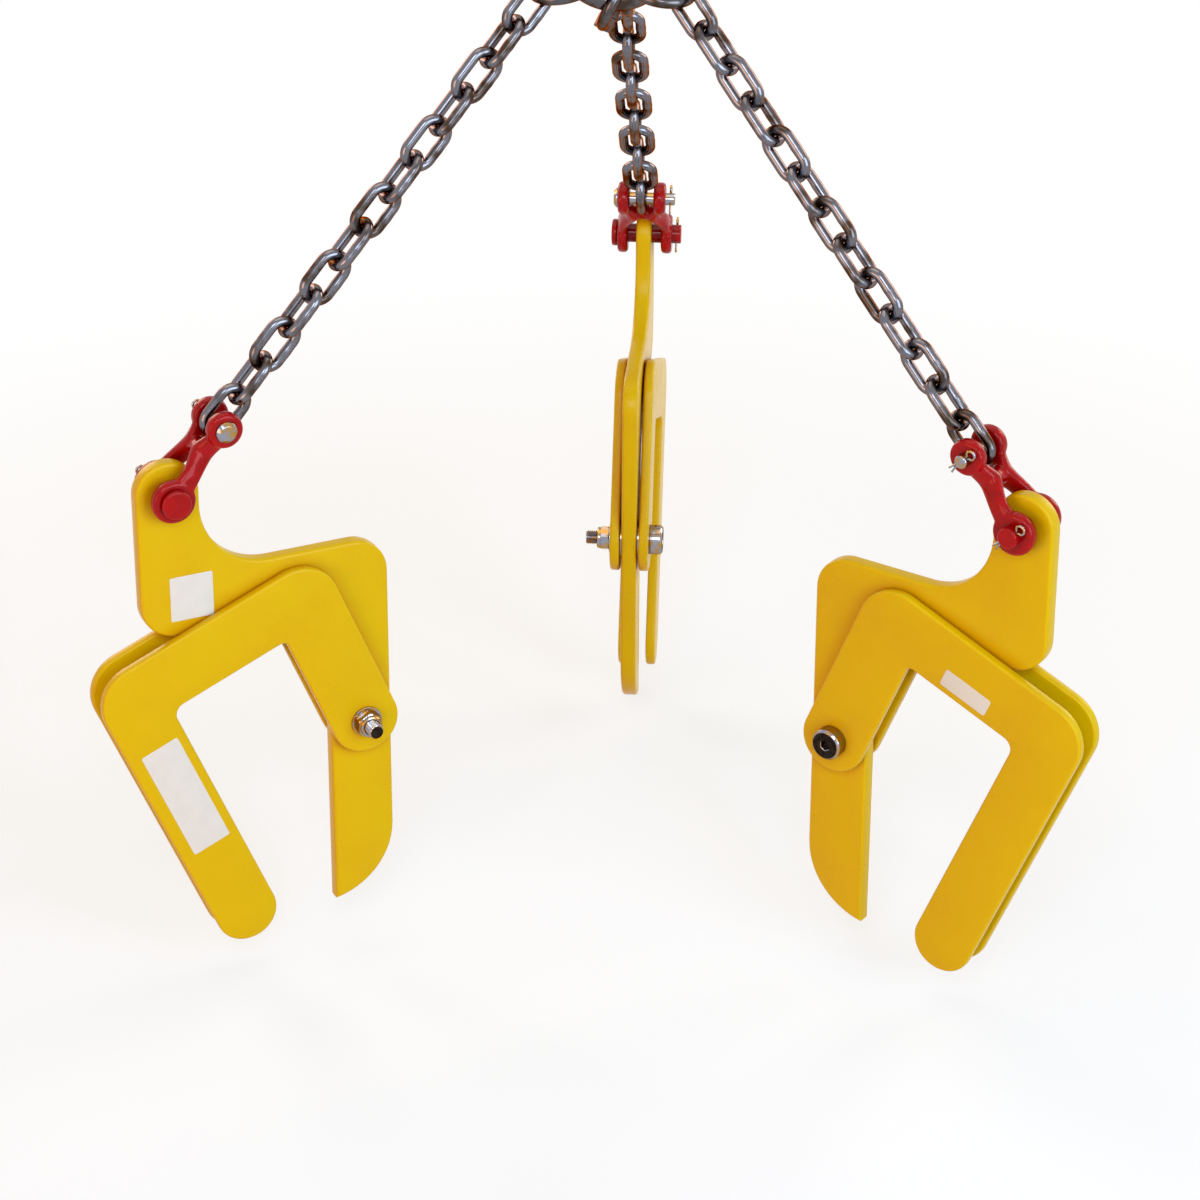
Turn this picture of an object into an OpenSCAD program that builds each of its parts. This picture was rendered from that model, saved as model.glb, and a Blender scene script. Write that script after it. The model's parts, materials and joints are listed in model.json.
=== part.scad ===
// Three-leg manhole lifter: a master link, three coupling links, three chains, three forged
// twin clevises and three tongs whose jaws close as they are raised.
// Origin: the crane-hook seat inside the top of the master link. +Z is up. The rear leg runs to +Y.

/* [Master link] */
// Bar diameter of the master link
master_bar = 19; // [16:1:22]
// Inside width of the master link
master_in_w = 70; // [64:1:76]
// Inside length of the master link
master_in_l = 140; // [120:5:180]
// Distance of the master link behind the legs' common axis
master_back = 4; // [2:0.5:5]
// Place of the side couplings round the lower bend, from its lowest point
bend_seat = 60.6; // [56:0.2:66]

/* [Coupling link] */
// Bar diameter of the coupling link's bows
bow_bar = 11; // [10:0.5:12]
// Outside width of the coupling link
coupler_w = 58; // [55:1:62]
// Length between the centres of the two bow bars
coupler_l = 68.7; // [67.5:0.1:71]
// Diameter of the coupling link's load pin
load_pin_d = 9; // [8:0.5:9.5]
// Wall of the bosses round the load pin
boss_wall = 3.5; // [3:0.25:4]
// Distance of the load pin from the lower bow's bar
load_pin_up = 35; // [34.5:0.1:35.5]

/* [Chain] */
// Wire diameter of the chain
wire_d = 9.5; // [8:0.5:10]
// Inside length of one link
pitch = 36.4; // [36:0.1:37]
// Outside width of one link
link_w = 35; // [33:0.5:37]
// Angle of the chains below the horizontal at rest
leg_angle = 48.2; // [46:0.1:50]

/* [Twin clevis] */
// Distance between the chain pin and the lug pin
clevis_l = 76; // [74:1:84]
// Diameter of the chain pin
chain_pin_d = 12; // [10:0.5:13]
// Diameter of the lug pin
lug_pin_d = 19; // [16:0.5:20]
// Gap between the chain ears
chain_gap = 23.5; // [20:0.5:26]
// Thickness of one chain ear
chain_ear_t = 12; // [10:0.5:13]
// Radius of the chain ears
chain_ear_r = 16.5; // [15:0.5:18]
// Gap between the lug ears
lug_gap = 33; // [30:0.5:36]
// Thickness of one lug ear
lug_ear_t = 11; // [9:0.5:12]
// Radius of the lug ears
lug_ear_r = 20; // [18:0.5:22]
// Diameter of the chain pin's head
chain_head_d = 19.5; // [18:0.5:22]
// Height of the chain pin's head
chain_head_h = 4; // [3:0.25:5]
// Diameter of the lug pin's head
lug_head_d = 27; // [25:0.5:30]
// Height of the lug pin's head
lug_head_h = 6.5; // [5:0.25:7]
// Length of each pin past its ear
pin_past = 9; // [8:0.5:12]
// Diameter of the split cotters' wire
cotter_d = 3.2; // [2.5:0.1:4]

/* [Lever plate] */
// Thickness of the lever plate
lever_t = 15; // [12:0.5:18]
// Width of the lever plate's arms
arm_w = 58.4; // [54:0.2:62]
// Distance from the lug pin inwards to the pivot bolt
bolt_in = 175.3; // [168:0.5:182]
// Depth of the pivot bolt under the lug pin
bolt_down = 257.7; // [245:0.5:270]
// Depth of the cross bar's top edge under the lug pin
bar_down = 81; // [76:1:90]
// Depth of the toe under the lug pin
toe_down = 446.5; // [430:1:460]
// Radius of the two inside bends
throat_r = 64; // [50:1:70]
// Radius of the two outside corners
lever_corner_r = 34; // [26:1:40]
// Radius of the foot's inner corner
foot_r = 70; // [60:1:76]

/* [Jaw plates] */
// Thickness of one jaw plate
jaw_t = 9.5; // [8:0.5:12]
// Gap between a jaw plate and the lever plate
jaw_gap = 2; // [1:0.25:3]
// Lean of the jaw plates from the upright at rest
jaw_lean = 22.5; // [18:0.5:26]
// Width of the leg on the pivot bolt
eye_w = 63.5; // [58:0.5:66]
// Width of the window between the two legs
window_w = 118; // [108:1:126]
// Width of the gripping leg
grip_w = 58; // [52:1:62]
// Height of the window's head over the pivot bolt
window_up = 118.4; // [105:1:125]
// Depth of the jaw plate's cross bar
head_w = 60.5; // [54:0.5:66]
// Depth of the gripping leg's round end centre under the pivot bolt
grip_down = 112.2; // [100:1:120]
// Radius of the jaw plate's two outside corners
jaw_corner_r = 38; // [30:1:44]
// Radius of the window's corner at the pivot leg
window_in_r = 6; // [4:0.5:12]
// Radius of the window's corner at the gripping leg
window_out_r = 11; // [6:0.5:16]

/* [Pivot bolt] */
// Shank diameter of the pivot bolt
bolt_d = 14; // [12:0.5:16]
// Diameter of the bolt's round head
bolt_head_d = 29.5; // [26:0.5:32]
// Height of the bolt's head
bolt_head_h = 13; // [10:0.5:14]
// Width of the nut across its flats
nut_af = 22; // [21:0.5:24]
// Height of the nut with its collar
nut_h = 12.5; // [11:0.5:14]
// Length of thread past the nut
thread_past = 10.8; // [8:0.2:13]
// Diameter of the washer under the nut
washer_d = 29; // [27:0.5:32]
// Thickness of the washer
washer_t = 2; // [1.5:0.25:3]
// Diameter of the spacer rings beside the lever plate
spacer_d = 40; // [34:1:46]

/* [Clearances] */
// Radial running clearance of a pin in its hole
pin_clear = 0.08; // [0.03:0.01:0.1]
// Gap between two pieces that hang on each other
seat_gap = 0.12; // [0.05:0.01:0.3]
// Room between the wires where the rear leg's rolled links bend sharply
elbow_room = 1.6; // [1.2:0.1:2]
// Gap between two flat faces that slide or lie side by side
side_gap = 0.1; // [0.05:0.05:0.3]

/* [Hidden] */
$fn = 64;
LEGS = [90, 210, 330];
NAMES = ["rear", "left", "right"];

LINKS = 13;
STEEL = "dimgray";
BRIGHT = "silver";
RED = "firebrick";
YELLOW = "gold";

// Master link: bend radius of the bar's centre, and the height of the lower bend's centre
bend_r = (master_in_w + master_bar) / 2;
bend_z = master_in_w / 2 - master_in_l;

// Chain, measured up the leg from the chain pin
half_link = (pitch + wire_d) / 2;
first_up = half_link - (chain_pin_d + wire_d) / 2 - seat_gap;
link_step = pitch - seat_gap;
function link_up(k) = first_up + (LINKS - k) * link_step;
bow_seat = (wire_d + bow_bar) / 2 + seat_gap;
bow_up = link_up(1) + half_link - bow_seat;

// Side couplings: each bears squarely on the bend, and its leg hangs where the bow runs across it
bow_r = (coupler_w - bow_bar) / 2;
reach = coupler_l - (bow_bar + master_bar) / 2 - seat_gap;
side_flat = [-sin(LEGS[1]), cos(LEGS[1]), 0];
side_out = [cos(LEGS[1]), sin(LEGS[1]), 0];
bend_at = [-bend_r * sin(bend_seat), 0, bend_z - bend_r * cos(bend_seat)];
function unit(v) = v / norm(v);
function side_axis(g) =
    [-sin(bend_seat) * cos(g), -sin(g), -cos(bend_seat) * cos(g)];
function side_bow(g) =
    let (c = side_axis(g))
    bend_at + (reach - bow_r) * c + bow_r * unit(c - (c * side_flat) * side_flat);
function side_off(g) = (side_bow(g) + [0, master_back, 0]) * side_flat;
function solve_side(lo, hi, n) = n == 0 ? (lo + hi) / 2 :
    let (m = (lo + hi) / 2) side_off(m) < 0 ? solve_side(m, hi, n - 1) : solve_side(lo, m, n - 1);
SWING_LOW = 40;
SWING_HIGH = 95;
HALVINGS = 30;
side_swing = solve_side(SWING_LOW, SWING_HIGH, HALVINGS);
side_down = side_axis(side_swing);
side_wide = unit(side_flat - (side_flat * side_down) * side_down);

// Places in a leg's own plane: x outwards from the common axis, z up
leg_dir = [-cos(leg_angle), 0, sin(leg_angle)];
bow_at = [(side_bow(side_swing) + [0, master_back, 0]) * side_out, 0, side_bow(side_swing)[2]];
chain_pin_at = bow_at - bow_up * leg_dir;
lug_pin_at = chain_pin_at - clevis_l * leg_dir;
bolt_at = lug_pin_at + [-bolt_in, 0, -bolt_down];

// Rear leg: its third link and the two above it lean over to reach the bottom of the bend
lean_at = chain_pin_at + (link_up(4) + half_link) * leg_dir;
lean_1 = pitch - wire_d - seat_gap - elbow_room;
rear_links = 2 * half_link + link_step - bow_seat;
lean_2 = rear_links + reach;
bottom_at = [master_back, 0, bend_z - bend_r];
to_bottom = bottom_at - lean_at;
bottom_far = norm(to_bottom);
bottom_angle = atan2(to_bottom[2], -to_bottom[0]);
lean_a = acos(min(1, (lean_1 * lean_1 + bottom_far * bottom_far - lean_2 * lean_2)
    / (2 * lean_1 * bottom_far)));
lean_angle_1 = bottom_angle + lean_a;
elbow_at = lean_at + lean_1 * [-cos(lean_angle_1), 0, sin(lean_angle_1)];
lean_angle_2 = atan2((bottom_at - elbow_at)[2], -(bottom_at - elbow_at)[0]);
// Extra roll of the rear leg's third, second and first links and of its coupling link
ROLL_3 = 14;
ROLL_2 = 28;
ROLL_1 = 42;
ROLL_COUPLER = 64;

// Lever and jaw plates, outwards from the middle of the tong
jaw_in = lever_t / 2 + jaw_gap;
jaw_out = jaw_in + jaw_t;

// Forged clevis
lug_ear_out = lug_gap / 2 + lug_ear_t;
chain_ear_out = chain_gap / 2 + chain_ear_t;
saddle_at = clevis_l * 0.64;
saddle_r = clevis_l / 8;
saddle_half = lug_gap / 3;
lug_mid = (lug_gap + lug_ear_t) / 2;
chain_mid = (chain_gap + chain_ear_t) / 2;
arm_bend_at = clevis_l * 0.4;
arm_bend_half = lug_mid - lug_ear_t / 4;
arm_bend_r = lug_ear_t * 0.62;
EAR_CHAMFER = 2;

// Moves its children from an axis along +X, with the wide side along +Y, to a line in space
module aim(at, along, wide) {
    up = cross(along, wide);
    multmatrix([[along[0], wide[0], up[0], at[0]],
        [along[1], wide[1], up[1], at[1]],
        [along[2], wide[2], up[2], at[2]],
        [0, 0, 0, 1]]) children();
}

// Moves its children from a frame at a pin, with +X up the leg, to the leg's plane
module on_leg(at, angle) {
    translate(at) rotate([0, 180 + angle, 0]) children();
}

module leg(i) {
    translate([0, -master_back, 0]) rotate([0, 0, LEGS[i]]) children();
}

// Half of a bent round bar: from +Y round the end at +X to -Y
module half_bend(r, d) {
    rotate([0, 0, -90]) rotate_extrude(angle = 180) translate([r, 0]) circle(d = d);
}

// One welded link, flat in XY, its length along X
module chain_link(d, inside_l, outside_w) {
    r = (outside_w - d) / 2;
    run = inside_l / 2 + d / 2 - r;
    for (s = [0, 180]) rotate([0, 0, s]) {
        translate([run, 0, 0]) half_bend(r, d);
        translate([-run, r, 0]) rotate([0, 90, 0]) cylinder(d = d, h = 2 * run);
    }
}

module round_pin(d, from, to) {
    translate([0, from, 0]) rotate([-90, 0, 0]) cylinder(d = d, h = to - from);
}

// A disc on a pin's axis with both rims chamfered
module chamfered_disc(d, from, to, c) {
    translate([0, from, 0]) rotate([-90, 0, 0]) rotate_extrude()
        polygon([[0, 0], [d / 2 - c, 0], [d / 2, c], [d / 2, to - from - c],
            [d / 2 - c, to - from], [0, to - from]]);
}

// What a square corner has over a rounded one: taken off outside a bend, filled in inside it
module corner(x, y, r, sx, sy) {
    translate([x, y]) scale([sx, sy]) difference() {
        translate([-1, -1]) square(r + 1);
        translate([r, r]) circle(r);
    }
}

module master_link() {
    color(STEEL) translate([0, 0, -master_in_l / 2]) rotate([90, 90, 0])
        chain_link(master_bar, master_in_l, master_in_w + 2 * master_bar);
}

// Coupling link in its own frame: the lower bow's bar crosses the origin, +X to the upper bow
cheek_t = coupler_w * 0.23;
tongue_w = coupler_w / 2 - 2 * side_gap;
boss_r = load_pin_d / 2 + boss_wall;
shoulder_t = bow_bar - 1;
cheek_gap = boss_wall / 4;
pin_inset = bow_bar / 5;

module load_pin_hole() {
    translate([load_pin_up, 0, 0]) round_pin(load_pin_d + 2 * pin_clear, -coupler_w, coupler_w);
}

// Lower half: a bow, a shoulder across it and a tongue on the load pin
module coupler_lower() {
    shoulder_end = load_pin_up - boss_r - cheek_gap;
    difference() {
        union() {
            translate([bow_r, 0, 0]) rotate([0, 0, 180]) half_bend(bow_r, bow_bar);
            for (s = [-1, 1]) translate([bow_r, s * bow_r, 0]) rotate([0, 90, 0])
                cylinder(d = bow_bar, h = shoulder_end - bow_r);
            translate([bow_r, -bow_r, -shoulder_t / 2])
                cube([shoulder_end - bow_r, 2 * bow_r, shoulder_t]);
            translate([bow_r, -tongue_w / 2, -shoulder_t / 2])
                cube([load_pin_up - bow_r, tongue_w, shoulder_t]);
            translate([load_pin_up, 0, 0]) round_pin(2 * boss_r, -tongue_w / 2, tongue_w / 2);
        }
        load_pin_hole();
    }
}

// Upper half: a bow whose two ends are the cheeks of a fork
module coupler_upper() {
    difference() {
        union() {
            translate([coupler_l - bow_r, 0, 0]) half_bend(bow_r, bow_bar);
            for (s = [-1, 1]) {
                translate([load_pin_up, s * bow_r, 0]) rotate([0, 90, 0])
                    cylinder(d = bow_bar, h = coupler_l - bow_r - load_pin_up);
                translate([load_pin_up, s * (tongue_w + cheek_t) / 2 + s * side_gap, 0])
                    round_pin(2 * boss_r, -cheek_t / 2, cheek_t / 2);
            }
        }
        load_pin_hole();
    }
}

module coupler_pin() {
    translate([load_pin_up, 0, 0])
        round_pin(load_pin_d, pin_inset - coupler_w / 2, coupler_w / 2 - pin_inset);
}

rear_bow = elbow_at + rear_links * [-cos(lean_angle_2), 0, sin(lean_angle_2)];

module place_coupler(i) {
    if (i == 0) {
        leg(0) on_leg(rear_bow, lean_angle_2) rotate([ROLL_COUPLER, 0, 0]) children();
    } else {
        mirror([i == 2 ? 1 : 0, 0, 0])
            aim(bend_at + reach * side_down, -side_down, side_wide) children();
    }
}

// One chain link by its number from the top: odd links lie in the leg's plane
module leg_link(i, k) {
    flat = k % 2 == 0 ? 0 : 90;
    leg(i)
        if (i == 0 && k == 3)
            on_leg(lean_at, lean_angle_1) translate([half_link - wire_d - seat_gap, 0, 0])
                rotate([flat + ROLL_3, 0, 0]) chain_link(wire_d, pitch, link_w);
        else if (i == 0 && k < 3)
            on_leg(elbow_at, lean_angle_2) translate([half_link + (2 - k) * link_step, 0, 0])
                rotate([flat + (k == 2 ? ROLL_2 : ROLL_1), 0, 0]) chain_link(wire_d, pitch, link_w);
        else
            on_leg(chain_pin_at, leg_angle) translate([link_up(k), 0, 0])
                rotate([flat, 0, 0]) chain_link(wire_d, pitch, link_w);
}

module chain(i, first, last) {
    color(STEEL) for (k = [first : last]) leg_link(i, k);
}

// A ball of the forged body, for a hull
module knuckle(x, y, r) {
    translate([x, y, 0]) sphere(r, $fn = 32);
}

module ear(r, mid, t) {
    chamfered_disc(2 * r, mid - t / 2, mid + t / 2, EAR_CHAMFER);
}

// The root of an ear, for a hull: a disc inside the ear
module ear_root(x, y, r, t) {
    translate([x, y, 0]) rotate([90, 0, 0]) cylinder(r = r, h = t - EAR_CHAMFER, center = true, $fn = 32);
}

// One arm: it runs straight past the lever plate, then turns in to the saddle and out again
module clevis_arm(s) {
    hull() {
        ear_root(lug_ear_r * 0.45, s * lug_mid, lug_ear_r * 0.62, lug_ear_t);
        knuckle(arm_bend_at, s * arm_bend_half, arm_bend_r);
    }
    hull() {
        knuckle(arm_bend_at, s * arm_bend_half, arm_bend_r);
        knuckle(saddle_at, s * saddle_half, saddle_r);
    }
    hull() {
        ear_root(clevis_l - chain_ear_r * 0.4, s * chain_mid, chain_ear_r * 0.6, chain_ear_t);
        knuckle(saddle_at, s * saddle_half, saddle_r);
    }
}

// Forged twin clevis in its own frame: the lug pin crosses the origin, +X to the chain pin
module clevis() {
    color(RED) difference() {
        union() {
            for (s = [-1, 1]) {
                ear(lug_ear_r, s * lug_mid, lug_ear_t);
                translate([clevis_l, 0, 0]) ear(chain_ear_r, s * chain_mid, chain_ear_t);
                clevis_arm(s);
            }
            translate([saddle_at, 0, 0]) round_pin(2 * saddle_r, -saddle_half, saddle_half);
        }
        round_pin(lug_pin_d + 2 * pin_clear, -2 * lug_gap, 2 * lug_gap);
        translate([clevis_l, 0, 0]) round_pin(chain_pin_d + 2 * pin_clear, -2 * lug_gap, 2 * lug_gap);
    }
}

module headed_pin(d, ear_out, head_d, head_h) {
    difference() {
        union() {
            chamfered_disc(d, -ear_out - pin_past, ear_out + side_gap, 1);
            chamfered_disc(head_d, ear_out + side_gap, ear_out + side_gap + head_h, 1);
        }
        translate([0, -ear_out - pin_past / 2, 0])
            cylinder(d = cotter_d + 0.5, h = 2 * head_d, center = true);
    }
}

// A split cotter across a pin of diameter d: its ring on the outer side, its ends spread
module cotter(d, ear_out) {
    eye_r = cotter_d * 1.35;
    prong = cotter_d * 2.8;
    spread = 32;
    translate([0, -ear_out - pin_past / 2, 0]) {
        translate([0, 0, -d / 2 - eye_r - cotter_d / 4]) rotate([90, 0, 0])
            rotate_extrude() translate([eye_r, 0]) circle(d = cotter_d / 2, $fn = 16);
        translate([0, 0, -d / 2 - cotter_d / 2]) cylinder(d = cotter_d, h = d + cotter_d + 1);
        for (s = [-1, 1]) translate([0, 0, d / 2 + cotter_d / 2]) rotate([0, s * spread, 0])
            cylinder(d = cotter_d / 2, h = prong);
    }
}

module on_clevis(i) {
    leg(i) on_leg(lug_pin_at, leg_angle) children();
}

module chain_pin() {
    color(BRIGHT) translate([clevis_l, 0, 0])
        headed_pin(chain_pin_d, chain_ear_out, chain_head_d, chain_head_h);
}

module lug_pin() {
    color(RED) headed_pin(lug_pin_d, lug_ear_out, lug_head_d, lug_head_h);
}

module cotters() {
    color(BRIGHT) {
        translate([clevis_l, 0, 0]) cotter(chain_pin_d, chain_ear_out);
        cotter(lug_pin_d, lug_ear_out);
    }
}

// Outline of the lever plate: x outwards and y up from the lug pin
module lever_outline() {
    h = arm_w / 2;
    leg_in = -bolt_in - h;
    leg_out = -bolt_in + h;
    bar_low = -bar_down - arm_w;
    difference() {
        union() {
            circle(h);
            translate([-h, bar_low]) square([arm_w, -bar_low]);
            translate([leg_in, bar_low]) square([h - leg_in, arm_w]);
            translate([leg_in, -toe_down]) square([arm_w, toe_down - bar_down]);
            corner(-h, -bar_down, throat_r, -1, 1);
            corner(leg_out, bar_low, throat_r, 1, -1);
        }
        corner(leg_in, -bar_down, lever_corner_r, 1, -1);
        corner(h, bar_low, lever_corner_r, -1, 1);
        corner(leg_in, -toe_down, foot_r, 1, 1);
        circle(lug_pin_d / 2 + pin_clear);
        translate([-bolt_in, -bolt_down]) circle(bolt_d / 2 + pin_clear);
    }
}

// Outline of one jaw plate, upright: x outwards and y up from the pivot bolt
module jaw_outline() {
    h = eye_w / 2;
    grip_in = h + window_w;
    grip_out = grip_in + grip_w;
    head_up = window_up + head_w;
    difference() {
        union() {
            circle(h);
            translate([-h, 0]) square([eye_w, head_up]);
            translate([-h, window_up]) square([h + grip_out, head_w]);
            translate([grip_in, -grip_down]) square([grip_w, grip_down + head_up]);
            translate([grip_in + grip_w / 2, -grip_down]) circle(grip_w / 2);
            corner(h, window_up, window_in_r, 1, -1);
            corner(grip_in, window_up, window_out_r, -1, -1);
        }
        corner(-h, head_up, jaw_corner_r, 1, -1);
        corner(grip_out, head_up, jaw_corner_r, -1, -1);
        circle(bolt_d / 2 + pin_clear);
    }
}

module plate(from, t) {
    translate([0, from + t, 0]) rotate([90, 0, 0]) linear_extrude(t) children();
}

module lever(i) {
    color(YELLOW) leg(i) translate(lug_pin_at) plate(-lever_t / 2, lever_t) lever_outline();
}

module on_bolt(i) {
    leg(i) translate(bolt_at) children();
}

module jaw_plates(i) {
    color(YELLOW) on_bolt(i) for (from = [jaw_in, -jaw_out])
        plate(from, jaw_t) rotate(-jaw_lean) jaw_outline();
}

module pivot_bolt() {
    socket_af = bolt_head_d / 3;
    end = jaw_out + washer_t + nut_h + thread_past;
    color(BRIGHT) difference() {
        union() {
            chamfered_disc(bolt_d, -jaw_out - 1, end, 1);
            chamfered_disc(bolt_head_d, -jaw_out - bolt_head_h, -jaw_out - side_gap, 1.6);
        }
        translate([0, -jaw_out - bolt_head_h - 1, 0]) rotate([-90, 0, 0])
            cylinder(d = socket_af / cos(30), h = bolt_head_h * 0.55, $fn = 6);
    }
}

// Lock nut: a hexagon with a round collar on its outer end
module nut() {
    collar = nut_h * 0.28;
    color(BRIGHT) translate([0, jaw_out + washer_t + side_gap, 0]) rotate([-90, 0, 0]) difference() {
        union() {
            cylinder(d = nut_af / cos(30), h = nut_h - collar, $fn = 6);
            cylinder(d = nut_af - 1, h = nut_h - side_gap);
        }
        translate([0, 0, -1]) cylinder(d = bolt_d + 2 * pin_clear, h = nut_h + 2);
    }
}

module ring_plate(d, from, to) {
    difference() {
        round_pin(d, from, to);
        round_pin(bolt_d + 2 * pin_clear, from - 1, to + 1);
    }
}

module washer() {
    color(BRIGHT) ring_plate(washer_d, jaw_out + side_gap, jaw_out + washer_t);
}

module spacers() {
    color(BRIGHT) for (s = [-1, 1]) {
        a = s * (lever_t / 2 + side_gap);
        b = s * (jaw_in - side_gap);
        ring_plate(spacer_d, min(a, b), max(a, b));
    }
}

master_link();
for (i = [0 : 2]) {
    n = NAMES[i];
    color(STEEL) place_coupler(i) coupler_lower();
    color(STEEL) place_coupler(i) coupler_upper();
    color(BRIGHT) place_coupler(i) coupler_pin();
    chain(i, 1, 4);
    chain(i, 5, 9);
    chain(i, 10, LINKS);
    on_clevis(i) clevis();
    on_clevis(i) chain_pin();
    on_clevis(i) lug_pin();
    on_clevis(i) cotters();
    lever(i);
    jaw_plates(i);
    on_bolt(i) pivot_bolt();
    on_bolt(i) nut();
    on_bolt(i) washer();
    on_bolt(i) spacers();
}
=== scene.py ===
import json
import logging
import math
from dataclasses import dataclass, field
from enum import Enum
from typing import Callable, Iterable, Sequence

import bmesh
import bpy
import numpy as np
from mathutils import Matrix, Vector


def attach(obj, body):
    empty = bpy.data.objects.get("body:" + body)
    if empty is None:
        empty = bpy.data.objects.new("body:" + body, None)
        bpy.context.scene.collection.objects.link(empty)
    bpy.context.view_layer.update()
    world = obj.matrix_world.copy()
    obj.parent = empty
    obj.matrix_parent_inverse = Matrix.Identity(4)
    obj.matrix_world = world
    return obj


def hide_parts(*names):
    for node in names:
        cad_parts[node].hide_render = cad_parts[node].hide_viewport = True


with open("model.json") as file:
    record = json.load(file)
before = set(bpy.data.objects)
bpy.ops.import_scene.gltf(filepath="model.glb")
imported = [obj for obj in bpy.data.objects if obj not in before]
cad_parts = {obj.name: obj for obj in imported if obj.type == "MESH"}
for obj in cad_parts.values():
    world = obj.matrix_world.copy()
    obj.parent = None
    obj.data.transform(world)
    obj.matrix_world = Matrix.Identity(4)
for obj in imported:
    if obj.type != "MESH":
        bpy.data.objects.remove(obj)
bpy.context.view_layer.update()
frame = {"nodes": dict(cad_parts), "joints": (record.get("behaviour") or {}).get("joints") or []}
JOINTS = {joint["name"]: joint for joint in frame["joints"]}

MM = 0.001
# CAD points closer than this are one point
WELD = 0.002 * MM
# Radius of the pinhole that stands for the axis in a turned profile
AXIS = 0.02 * MM
# Angles in degrees above which an edge stays sharp: on forged, turned and flat-cut pieces
SHARP, TURNED_SHARP, PLATE_SHARP = 35.0, 28.0, 40.0
WHITE = "#FFFFFF"
LOG = logging.getLogger("lifter")

Mesh, Tree = bpy.types.Mesh, bpy.types.NodeTree
Node, Socket = bpy.types.Node, bpy.types.NodeSocket
Radius = float | Callable[[float], float]
Pair = tuple[float, float]
Rings = list[list[Vector]]


class Leg(Enum):
    """The three legs of the sling, by the azimuth of each leg's plane in degrees."""

    REAR = 90.0
    LEFT = 210.0
    RIGHT = 330.0

    @property
    def label(self) -> str:
        """The word that ends the leg's node and body names."""
        return self.name.lower()

    @property
    def outward(self) -> Vector:
        """The level direction away from the sling's axis."""
        a = math.radians(self.value)
        return Vector((math.cos(a), math.sin(a), 0.0))

    @property
    def across(self) -> Vector:
        """The level direction along the leg's pins, towards their heads."""
        a = math.radians(self.value)
        return Vector((-math.sin(a), math.cos(a), 0.0))


def linear(colour: str) -> tuple[float, float, float, float]:
    """Turns an sRGB hex colour into a linear one.

    Args:
        colour: six hex digits after a hash sign.

    Returns:
        Linear red, green, blue and an alpha of 1.
    """
    parts = [int(colour[i : i + 2], 16) / 255 for i in (1, 3, 5)]
    flat = [c / 12.92 if c <= 0.04045 else ((c + 0.055) / 1.055) ** 2.4 for c in parts]
    return flat[0], flat[1], flat[2], 1.0


def add_node(tree: Tree, kind: str, settings: dict | None = None, **links: Node | Socket) -> Node:
    """Adds one shader node with its settings and links.

    Args:
        tree: the material's or world's node tree.
        kind: Blender's name of the node type, after the word ShaderNode.
        settings: values by property name, or by socket name or number.
        **links: a socket, or a node for its first output, by the name of the input socket with _ for a
            space, or by _ and its number.

    Returns:
        The new node.
    """
    node = tree.nodes.new(f"ShaderNode{kind}")
    for key, value in (settings or {}).items():
        if isinstance(key, str) and hasattr(node, key):
            setattr(node, key, value)
        else:
            node.inputs[key].default_value = value
    for key, source in links.items():
        name: str | int = int(key[1:]) if key[1:].isdigit() else key.replace("_", " ")
        tree.links.new(source.outputs[0] if isinstance(source, Node) else source, node.inputs[name])
    return node


@dataclass(frozen=True)
class Cloud:
    """A cloudy pattern: the real size of its patches, its finer layers and how strong those are."""

    size: float
    layers: float
    strength: float = 0.5

    @property
    def settings(self) -> dict[str, float]:
        """The pattern as settings of its node."""
        return {"Scale": 1 / self.size, "Detail": self.layers, "Roughness": self.strength}


def mottle(
    tree: Tree, where: Socket, cloud: Cloud, low: tuple[float, str], high: tuple[float, str]
) -> tuple[Node, Node]:
    """Adds a cloudy pattern and the two colours that it drifts between.

    Args:
        tree: the material's node tree.
        where: the surface's coordinates.
        cloud: the pattern.
        low: the pattern's value up to which the first colour is plain, and that colour.
        high: the value from which the second colour is plain, and that colour.

    Returns:
        The pattern, and its colours.
    """
    pattern = add_node(tree, "TexNoise", cloud.settings, Vector=where)
    tint = add_node(tree, "ValToRGB", Fac=pattern)
    for stop, (position, colour) in zip(tint.color_ramp.elements, (low, high)):
        stop.position = position
        stop.color = linear(colour)
    return pattern, tint


def relief(tree: Tree, where: Socket, cloud: Cloud, height: float, over: Node | None = None) -> Node:
    """Adds a cloudy pattern and the relief that it gives the surface.

    Args:
        tree: the material's node tree.
        where: the surface's coordinates.
        cloud: the pattern.
        height: the relief's real height.
        over: the coarser relief that it lies on, if there is one.

    Returns:
        The relief.
    """
    pattern = add_node(tree, "TexNoise", cloud.settings, Vector=where)
    below = {} if over is None else {"Normal": over}
    return add_node(tree, "Bump", {"Strength": 1.0, "Distance": height}, Height=pattern, **below)


@dataclass(frozen=True)
class Finish:
    """What a piece is made of: the material's name, and the slot of the pieces that have it."""

    name: str
    slot: str

    def surface(self, tree: Tree, where: Socket) -> Node:
        """Adds the surface's nodes and returns its shader; each kind of finish has its own."""
        raise NotImplementedError

    def build(self) -> bpy.types.Material:
        """Makes the material.

        Returns:
            A material with nothing but the finish's surface.
        """
        material = bpy.data.materials.new(self.name)
        material.use_nodes = True
        tree = material.node_tree
        tree.nodes.clear()
        where = add_node(tree, "TexCoord").outputs["Object"]
        add_node(tree, "OutputMaterial", Surface=self.surface(tree, where))
        return material


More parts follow.
